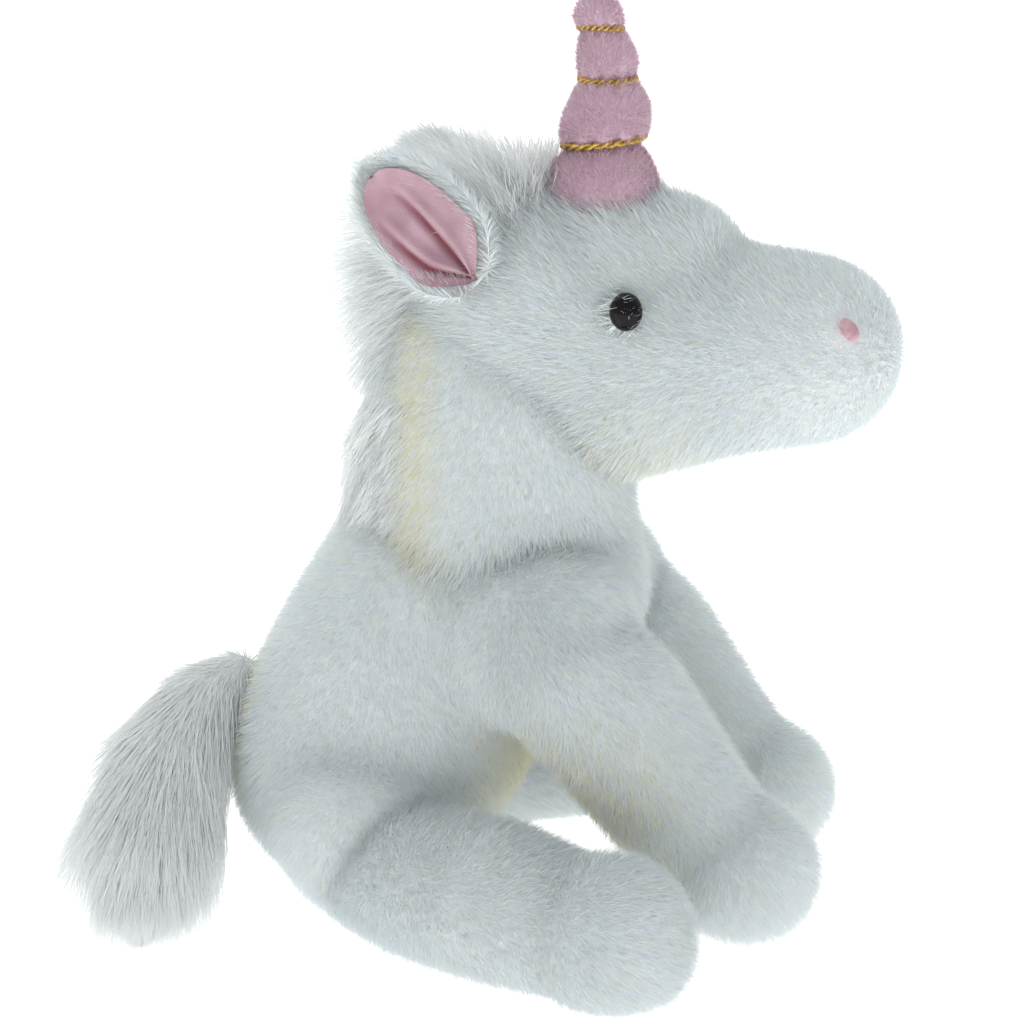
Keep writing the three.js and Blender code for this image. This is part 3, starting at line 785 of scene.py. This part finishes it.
def makeLegs():
    for side, s in sides.items():
        place = shoulders[side]
        skin = stuffedShape(f"front_leg_{side}Skin", place, [inset(frontLeg["limb"])],
                            frontLeg["width"], voxel=2.4, smoothing=9,
                            balls=[inflatedBall(frontLeg["paw"])])
        inflate(skin, seamLine(place.y / mm), cap=1.6)
        seated(skin)
        at = place / mm
        dress(skin, f"front_leg_{side}", legNodes("front", side), along(0.6, 0, -1),
              offFloor, glowNear(0.7, at.x + 14, at.y, 45, 40),
              {**plushPile, "perMm2": 3.4, "seed": 6 + s})
        place = hips[side]
        limb = [(x, y * s, z, radius) for x, y, z, radius in hindLeg["limb"]]
        x, y, *rest = hindLeg["foot"]
        skin = stuffedShape(f"hind_leg_{side}Skin", place, [inset(limb)], hindLeg["width"],
                            voxel=2.6, smoothing=9, balls=[inflatedBall((x, y * s, *rest))])
        at = place / mm
        inflate(skin, seamLine(at.z, axis=2), cap=1.6)
        seated(skin)
        dress(skin, f"hind_leg_{side}", legNodes("hind", side), along(1, 0.25 * s, -0.2),
              offFloor, glowNear(0.5, at.x + 50, at.y * 0.9, 55, 30),
              {**plushPile, "perMm2": 3.4, "seed": 9 + s})


horn = {  # heights above the root's centre and radii, mm
    "lean": -4, "bottom": -8, "rootRadius": 16.3,
    "waists": [(15.0, 10.4), (32.6, 6.4), (47.0, 4.6)], "tip": 59.0,
    "swells": [3.6, 2.6, 3.6], "gathers": 11, "gatherDepth": 0.07, "gatherReach": 3.0,
    "sway": [(-8, -1.5), (8, -1.2), (26, 1.8), (38, 2.4), (50, 0.6), (59, 0)],
}
gold = {"strand": 0.62, "apart": 0.62, "out": 1.35, "turns": 11, "rings": 156, "sides": 6,
        "tilts": [(2, -3), (5, 4), (-4, 6)]}  # how each wrap tips, degrees


def hornRadius(height):
    stops = [*horn["waists"], (horn["tip"], 0.0)]
    if height < stops[0][0]:
        return math.sqrt(max(0, horn["rootRadius"] ** 2 - height ** 2))
    for (low, first), (high, last), swell in zip(stops, stops[1:], horn["swells"]):
        if height <= high:
            share = (height - low) / (high - low)
            bulge = math.sin(math.pi * share ** 0.8) ** 0.6  # fuller low down
            return first + (last - first) * share + swell * bulge
    return 0


def hornSway(height):
    heights, shifts = zip(*horn["sway"])
    return float(np.interp(height, heights, shifts))


def tubeMesh(name, rings, capped=True):  # rings of points, joined in order
    work = bmesh.new()
    made = [[work.verts.new(point) for point in ring] for ring in rings]
    for first, second in zip(made, made[1:]):
        for i in range(len(first)):
            j = (i + 1) % len(first)
            work.faces.new((first[i], first[j], second[j], second[i]))
    if capped:
        work.faces.new(list(reversed(made[0])))
        work.faces.new(made[-1])
    else:  # the last ring joins the first
        for i in range(len(made[0])):
            j = (i + 1) % len(made[0])
            work.faces.new((made[-1][i], made[-1][j], made[0][j], made[0][i]))
    bmesh.ops.recalc_face_normals(work, faces=work.faces)
    mesh = bpy.data.meshes.new(name)
    work.to_mesh(mesh)
    work.free()
    return mesh


def makeHorn():
    place = Matrix.Translation(hornRoot) @ Matrix.Rotation(math.radians(horn["lean"]), 4, "Y")
    rings = []
    steps, around = 90, 64
    for i in range(steps + 1):
        height = horn["bottom"] + (horn["tip"] - horn["bottom"] - 0.05) * i / steps
        radius = hornRadius(height)
        pucker = max(math.exp(-((height - waist[0]) / horn["gatherReach"]) ** 2)
                     for waist in horn["waists"])
        ring = []
        for k in range(around):
            angle = 2 * math.pi * k / around
            gather = 1 - pucker * horn["gatherDepth"] * math.cos(horn["gathers"] * angle)
            reach = max(radius * gather, 0.15)  # the tip isn't quite a point
            ring.append(place @ millimetres((reach * math.cos(angle) + hornSway(height),
                                             reach * math.sin(angle), height)))
        rings.append(ring)
    mesh = tubeMesh("hornSkin", rings)
    mesh.materials.append(velour)
    skin = newPiece("hornSkin", mesh)
    smoothShade(skin)
    comb(skin, along(0, 0, 1))
    fuzz = growPile("hornPile", skin,
                    {"perMm2": 6.0, "length": 1.9, "width": 0.22, "lean": 0.5, "mess": 0.5,
                     "tuft": 2.0, "pull": 0.2, "bend": 0.1, "seed": 31, "warm": 0.3},
                    {"cool": velourDark, "white": velourLight, "warm": velourDark})
    fuzz.parent = skin
    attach(skin, "horn")
    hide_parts("horn_cover", "horn_stuffing")
    return place


# each wrap is two strands twisted round each other, closed into a ring
def makeWraps(place):
    for index, ((height, radius), tilts) in enumerate(zip(horn["waists"], gold["tilts"])):
        tilt = Matrix.Rotation(math.radians(tilts[0]), 4, "X") @ Matrix.Rotation(
            math.radians(tilts[1]), 4, "Y")
        at = place @ Matrix.Translation(millimetres((hornSway(height), 0, height))) @ tilt
        work = bmesh.new()
        for strand in range(2):
            rings = []
            for i in range(gold["rings"]):
                angle = 2 * math.pi * i / gold["rings"]
                phase = gold["turns"] * angle + math.pi * strand
                outward = Vector((math.cos(angle), math.sin(angle), 0))
                reach = radius + gold["out"] + gold["apart"] * math.cos(phase)
                centre = outward * reach + Vector((0, 0, gold["apart"] * math.sin(phase)))
                ring = []
                for k in range(gold["sides"]):
                    bend = 2 * math.pi * k / gold["sides"]
                    spot = centre + outward * gold["strand"] * math.cos(bend)
                    spot += Vector((0, 0, gold["strand"] * math.sin(bend)))
                    ring.append(at @ (spot * mm))
                rings.append(ring)
            part = tubeMesh("strand", rings, capped=False)
            work.from_mesh(part)
            bpy.data.meshes.remove(part)
        mesh = bpy.data.meshes.new(f"goldWrap{index + 1}")
        work.to_mesh(mesh)
        work.free()
        mesh.materials.append(goldThread)
        wrap = newPiece(mesh.name, mesh)
        smoothShade(wrap)
        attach(wrap, "horn")
        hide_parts(f"gold_thread_{index + 1}")


ear = {"rise": 42, "closeIn": 9, "length": 47, "halfWidth": 17.5, "thickness": 6, "cup": 3.0,
       "base": 0.4, "shift": (-3.2, 0, -3.0)}
lining = {"start": 0.9, "length": 42, "halfWidth": 12.2, "thickness": 1.0, "base": 0.12,
          "over": 3.0, "flat": (24, 42)}
bareEar = {"from": 1.5, "to": 38, "share": 0.9, "depth": 1.5}  # no pile under the lining
liningFolds = [{"reach": 0.0, "drift": -0.22, "depth": 2.2, "wide": 0.10, "end": 0.86},
               {"reach": 0.62, "drift": 0.18, "depth": 2.0, "wide": 0.10, "end": 0.78}]


def foldLine(fold, share):  # where a fold runs across the lining, from the gathered base
    return fold["reach"] * (1 - math.exp(-share / 0.14)) + fold["drift"] * share


def earFrame(side):
    rise, closeIn = math.radians(ear["rise"]), math.radians(ear["closeIn"])
    s = sides[side]
    up = Vector((-math.cos(rise) * math.cos(closeIn), -s * math.sin(closeIn),
                 math.sin(rise) * math.cos(closeIn)))
    out = Vector((0, s, 0))
    out = (out - up * out.dot(up)).normalized()
    wide = up.cross(out) * s  # towards the back of the head
    return up, out, wide


def leafWidth(share, halfWidth, base):
    opening = min(1, share / 0.32)
    closing = math.sqrt(max(0, 1 - max(0, (share - 0.42) / 0.58) ** 2.2))
    return halfWidth * (base + (1 - base) * math.sin(opening * math.pi / 2)) * closing


# a closed leaf: its outer face at rise(share, across), its back a thickness behind
def leafPiece(name, side, length, halfWidth, thickness, rise, material, base, start=0.0):
    up, out, wide = earFrame(side)
    root = earRoots[side] + millimetres(ear["shift"])
    longSteps, wideSteps = 60, 64
    work = bmesh.new()

    def spot(share, across, back):
        half = leafWidth(share, halfWidth, base)
        lens = math.sqrt(max(0, 1 - across ** 2)) * math.sqrt(max(0, 4 * share * (1 - share)))
        height = rise(share, across) - (thickness * lens if back else 0)
        return (root + up * ((start + share * length) * mm)
                + wide * (across * half * mm) + out * (height * mm))

    for back in (False, True):
        grid = [[work.verts.new(spot(i / longSteps, 2 * j / wideSteps - 1, back))
                 for j in range(wideSteps + 1)] for i in range(longSteps + 1)]
        for i in range(longSteps):
            for j in range(wideSteps):
                face = [grid[i][j], grid[i][j + 1], grid[i + 1][j + 1], grid[i + 1][j]]
                work.faces.new(reversed(face) if back else face)
    bmesh.ops.remove_doubles(work, verts=work.verts, dist=0.00002)
    bmesh.ops.recalc_face_normals(work, faces=work.faces)
    mesh = bpy.data.meshes.new(name)
    work.to_mesh(mesh)
    work.free()
    mesh.materials.append(material)
    piece = newPiece(name, mesh)
    smoothShade(piece)
    return piece


def cupped(share, across):
    gather = math.exp(-(share / 0.22) ** 2)
    return ear["cup"] * (across ** 2 * (0.5 + gather) - 0.3)


def folded(share, across):
    height = cupped(share, across * 0.75) + lining["over"]
    for fold in liningFolds:
        gap = (across - foldLine(fold, share)) / fold["wide"]
        fade = min(1, max(0, (fold["end"] - share) / 0.25))
        height -= fold["depth"] * fade * math.exp(-gap ** 2)
        height += 0.6 * fold["depth"] * fade * math.exp(-(gap + 2.4) ** 2 / 2)
    return height


def paintFoldShade(leaf, side):  # marks the folds, for the satin to go darker in: painted shade
    up, _, wide = earFrame(side)
    shades = leaf.data.attributes.new("fold", "FLOAT", "POINT")
    for index, vertex in enumerate(leaf.data.vertices):
        gap = vertex.co - earRoots[side] - millimetres(ear["shift"])
        share = (gap.dot(up) / mm - lining["start"]) / lining["length"]
        half = max(0.5, leafWidth(min(1, max(0, share)), lining["halfWidth"], lining["base"]))
        across = gap.dot(wide) / mm / half
        shade = 0
        for fold in liningFolds:
            fade = min(1, max(0, (fold["end"] - share) / 0.35))
            aside = (across - foldLine(fold, max(0, share))) / (fold["wide"] * 0.75)
            shade = max(shade, fade * math.exp(-aside ** 2))
        shades.data[index].value = shade


def makeEars():
    for side, s in sides.items():
        leaf = leafPiece(f"ear_{side}Skin", side, ear["length"], ear["halfWidth"] - 2.5,
                         ear["thickness"], cupped, backing, ear["base"])
        up, out, wide = (np.array(way) for way in earFrame(side))

        def pile(places):
            gap = (places - np.array(earRoots[side] + millimetres(ear["shift"]))) / mm
            reach = gap @ up
            share = np.clip((reach - bareEar["from"]) / lining["length"], 0, 1)
            half = np.array([leafWidth(u, lining["halfWidth"], lining["base"]) for u in share])
            covered = np.abs(gap @ wide) < half * bareEar["share"]
            covered &= reach < bareEar["to"]
            return 1.0 - covered * (gap @ out > -bareEar["depth"])

        comb(leaf, along(*up), pile)
        fur = growPile(f"ear_{side}Pile", leaf,
                       {**plushPile, "perMm2": 4.0, "length": 6.0, "seed": 41 + s})
        fur.parent = leaf
        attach(leaf, f"ear_{side}")
        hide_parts(f"ear_outer_{side}")
        satinLeaf = leafPiece(f"ear_{side}Lining", side, lining["length"], lining["halfWidth"],
                              lining["thickness"], folded, satin, lining["base"],
                              start=lining["start"])
        paintFoldShade(satinLeaf, side)
        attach(satinLeaf, f"ear_{side}")
        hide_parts(f"ear_lining_{side}")


tail = {"core": [(-2, -4, -2, 8), (-10, -13, -8, 12), (-16, -25, -20, 14.5),
                 (-19, -39, -38, 15.5), (-18, -52, -54, 11)]}


def makeTail():
    skin = stuffedShape("tailSkin", tailRoot, [tail["core"]], 1.0, voxel=2.0, smoothing=5)
    stops = np.array([tailRoot + millimetres(stop[:3]) for stop in tail["core"]])

    def flow(places):
        gaps = np.linalg.norm(places[:, None] - stops[None], axis=2)
        nearest = np.minimum(gaps.argmin(axis=1), len(stops) - 2)
        way = stops[nearest + 1] - stops[nearest] - np.array((0, 0, 6 * mm))
        return way / np.linalg.norm(way, axis=1, keepdims=True)

    smoothShade(skin)

    def pile(places):  # short at the root, and no longer than the way down to the floor
        down = np.clip(0.3 + 0.7 * (tailRoot.z - places[:, 2]) / (22 * mm), 0.15, 1)
        return down * np.clip(places[:, 2] / (34 * mm), 0.3, 1)

    comb(skin, flow, pile)
    hair = growPile("tailHair", skin,
                    {**longPile, "perMm2": 2.4, "length": 37, "lean": 2.5, "bend": 0.2,
                     "mess": 0.14, "tuft": 9, "pull": 0.12, "seed": 24}, longMaterials)
    hair.parent = skin
    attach(skin, "tail")
    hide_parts("tail_core", "tail_plume")


makeBody()
print("body done")
makeNeck()
print("neck done")
headSkin = makeHead()
makeFace(headSkin)
print("head done")
makeLegs()
print("legs done")
makeWraps(makeHorn())
makeEars()
print("horn and ears done")
makeTail()
print("tail done")

studio = {
    "floor": 9.0, "glow": 0.78, "sky": 0.60,
    "sun": 1.45, "sunSoftness": 60, "sunHeight": 50, "sunTurn": 28,
    "cameraAngle": 10.0, "cameraBack": 28, "cameraAway": 0.8, "cameraHeight": 0.33,
    "cameraDrop": 14.56, "fieldOfView": 21.1,
}
floorMaterial = clothMaterial("paleFloor", (0.93, 0.93, 0.93), (0.95, 0.95, 0.95),
                              0.5, 0.002, 0.00002,
                              {"Roughness": 0.9, "Emission Color": (1, 1, 1, 1),
                               "Emission Strength": studio["glow"]})
work = bmesh.new()
bmesh.ops.create_grid(work, x_segments=1, y_segments=1, size=studio["floor"])
floorMesh = bpy.data.meshes.new("floor")
work.to_mesh(floorMesh)
work.free()
floorMesh.materials.append(floorMaterial)
newPiece("floor", floorMesh)

world = bpy.context.scene.world or bpy.data.worlds.new("sky")
bpy.context.scene.world = world
world.use_nodes = True
sky = world.node_tree.nodes["Background"]
sky.inputs["Color"].default_value = (0.96, 0.98, 1.0, 1)
sky.inputs["Strength"].default_value = studio["sky"]
sun = bpy.data.lights.new("softSun", "SUN")
sun.energy = studio["sun"]
sun.angle = math.radians(studio["sunSoftness"])
sun.color = (1.0, 0.99, 0.96)
lamp = bpy.data.objects.new("softSun", sun)
bpy.context.scene.collection.objects.link(lamp)
lamp.rotation_euler = (math.radians(studio["sunHeight"] - 90), 0, math.radians(studio["sunTurn"]))

lens = bpy.data.cameras.new("camera")
lens.sensor_fit = "HORIZONTAL"
lens.angle = math.radians(studio["fieldOfView"])
camera = bpy.data.objects.new("camera", lens)
bpy.context.scene.collection.objects.link(camera)
angle = math.radians(studio["cameraAngle"])
camera.location = (hornRoot.x - studio["cameraBack"] * mm + studio["cameraAway"] * math.sin(angle),
                   -studio["cameraAway"] * math.cos(angle), studio["cameraHeight"])
camera.rotation_euler = (math.radians(90 - studio["cameraDrop"]), 0, angle)
bpy.context.scene.camera = camera
bpy.context.scene.view_settings.view_transform = "Standard"
